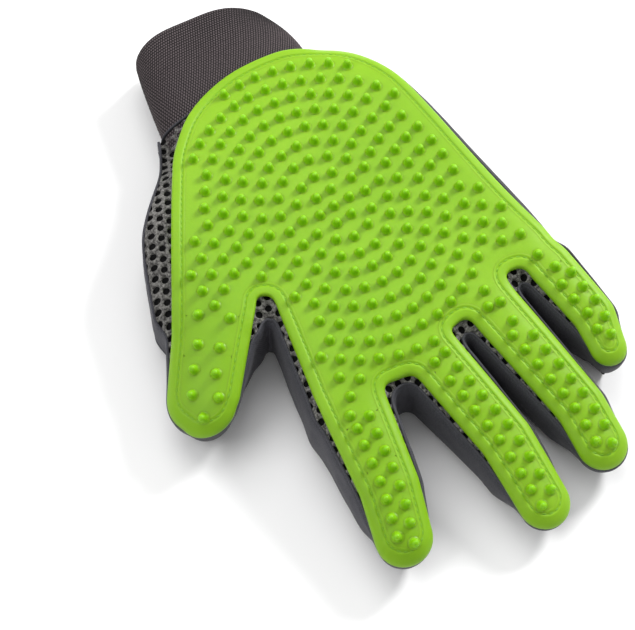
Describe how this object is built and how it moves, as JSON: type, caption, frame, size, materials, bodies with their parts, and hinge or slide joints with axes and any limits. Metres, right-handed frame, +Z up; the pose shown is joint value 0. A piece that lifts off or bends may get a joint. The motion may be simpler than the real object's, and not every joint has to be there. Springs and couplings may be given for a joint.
{
  "type": "grooming glove",
  "caption": "Pet grooming glove for the right hand: a moulded green nubbed pad over palm and fingers, mesh panels, stretch gussets and an elastic cuff with a pull tab.",
  "frame": {"origin": "centre of the glove's box at its lowest level, on the surface that it lies on, back down", "axes": "+Z up, out of the palm side; -Y towards the finger tips, +Y towards the wrist; -X towards the thumb"},
  "size_m": [0.1462, 0.23, 0.033],
  "materials": {
    "pad": "matte moulded silicone rubber with a satin sheen",
    "air_mesh": "heathered grey air mesh with round holes",
    "gusset": "smooth dark grey stretch knit",
    "cuff": "fine ribbed charcoal elastic",
    "tab": "matte moulded brown-grey rubber",
    "tape": "black hook and loop tape"
  },
  "bodies": {
    "palm": {"palm_pad": "pad", "palm_mesh": "air_mesh", "back_mesh": "air_mesh", "gusset_thumb_edge": "gusset", "gusset_little_edge": "gusset", "fork_thumb_index": "gusset", "fork_index_middle": "gusset", "fork_middle_ring": "gusset", "fork_ring_little": "gusset", "elastic_cuff": "cuff", "slit_insert": "gusset", "slit_binding": "gusset", "loop_patch": "tape"},
    "thumb_base": {"thumb_base_pad": "pad", "thumb_base_palm_mesh": "air_mesh", "thumb_base_back_mesh": "air_mesh", "thumb_base_gusset_thumb_side": "gusset", "thumb_base_gusset_little_side": "gusset"},
    "thumb_tip": {"thumb_tip_pad": "pad", "thumb_tip_palm_mesh": "air_mesh", "thumb_tip_back_mesh": "air_mesh", "thumb_tip_gusset": "gusset"},
    "index_base": {"index_base_pad": "pad", "index_base_palm_mesh": "air_mesh", "index_base_back_mesh": "air_mesh", "index_base_gusset_thumb_side": "gusset", "index_base_gusset_little_side": "gusset"},
    "index_tip": {"index_tip_pad": "pad", "index_tip_palm_mesh": "air_mesh", "index_tip_back_mesh": "air_mesh", "index_tip_gusset": "gusset"},
    "middle_base": {"middle_base_pad": "pad", "middle_base_palm_mesh": "air_mesh", "middle_base_back_mesh": "air_mesh", "middle_base_gusset_thumb_side": "gusset", "middle_base_gusset_little_side": "gusset"},
    "middle_tip": {"middle_tip_pad": "pad", "middle_tip_palm_mesh": "air_mesh", "middle_tip_back_mesh": "air_mesh", "middle_tip_gusset": "gusset"},
    "ring_base": {"ring_base_pad": "pad", "ring_base_palm_mesh": "air_mesh", "ring_base_back_mesh": "air_mesh", "ring_base_gusset_thumb_side": "gusset", "ring_base_gusset_little_side": "gusset"},
    "ring_tip": {"ring_tip_pad": "pad", "ring_tip_palm_mesh": "air_mesh", "ring_tip_back_mesh": "air_mesh", "ring_tip_gusset": "gusset"},
    "little_base": {"little_base_pad": "pad", "little_base_palm_mesh": "air_mesh", "little_base_back_mesh": "air_mesh", "little_base_gusset_thumb_side": "gusset", "little_base_gusset_little_side": "gusset"},
    "little_tip": {"little_tip_pad": "pad", "little_tip_palm_mesh": "air_mesh", "little_tip_back_mesh": "air_mesh", "little_tip_gusset": "gusset"},
    "tab": {"closure_tab": "tab", "hook_patch": "tape"}
  },
  "joints": [
    {"name": "thumb_knuckle", "type": "hinge", "parent": "palm", "child": "thumb_base", "pos_m": [-0.0443, 0.0043, 0.0275], "axis": [-0.7194, 0.6644, -0.2027], "range_deg": [0, 45]},
    {"name": "thumb_bend", "type": "hinge", "parent": "thumb_base", "child": "thumb_tip", "pos_m": [-0.05516, -0.00745, 0.0238], "axis": [-0.7052, 0.6513, -0.2803], "range_deg": [0, 60]},
    {"name": "index_knuckle", "type": "hinge", "parent": "palm", "child": "index_base", "pos_m": [-0.0246, -0.0562, 0.0262], "axis": [-1, 0, 0], "range_deg": [0, 70]},
    {"name": "index_bend", "type": "hinge", "parent": "index_base", "child": "index_tip", "pos_m": [-0.0246, -0.0762, 0.0227], "axis": [-1, 0, 0], "range_deg": [0, 75]},
    {"name": "middle_knuckle", "type": "hinge", "parent": "palm", "child": "middle_base", "pos_m": [0.0112, -0.0562, 0.0262], "axis": [-1, 0, 0], "range_deg": [0, 70]},
    {"name": "middle_bend", "type": "hinge", "parent": "middle_base", "child": "middle_tip", "pos_m": [0.0112, -0.0832, 0.0213], "axis": [-1, 0, 0], "range_deg": [0, 75]},
    {"name": "ring_knuckle", "type": "hinge", "parent": "palm", "child": "ring_base", "pos_m": [0.0379, -0.0532, 0.0267], "axis": [-1, 0, 0], "range_deg": [0, 70]},
    {"name": "ring_bend", "type": "hinge", "parent": "ring_base", "child": "ring_tip", "pos_m": [0.0379, -0.0802, 0.0219], "axis": [-1, 0, 0], "range_deg": [0, 75]},
    {"name": "little_knuckle", "type": "hinge", "parent": "palm", "child": "little_base", "pos_m": [0.0623, -0.0482, 0.0275], "axis": [-1, 0, 0], "range_deg": [0, 70]},
    {"name": "little_bend", "type": "hinge", "parent": "little_base", "child": "little_tip", "pos_m": [0.0623, -0.0647, 0.0248], "axis": [-1, 0, 0], "range_deg": [0, 75]},
    {"name": "tab_peel", "type": "hinge", "parent": "palm", "child": "tab", "pos_m": [0.0037, 0.0918, 0.0014], "axis": [0, 1, 0], "range_deg": [0, 150]}
  ]
}
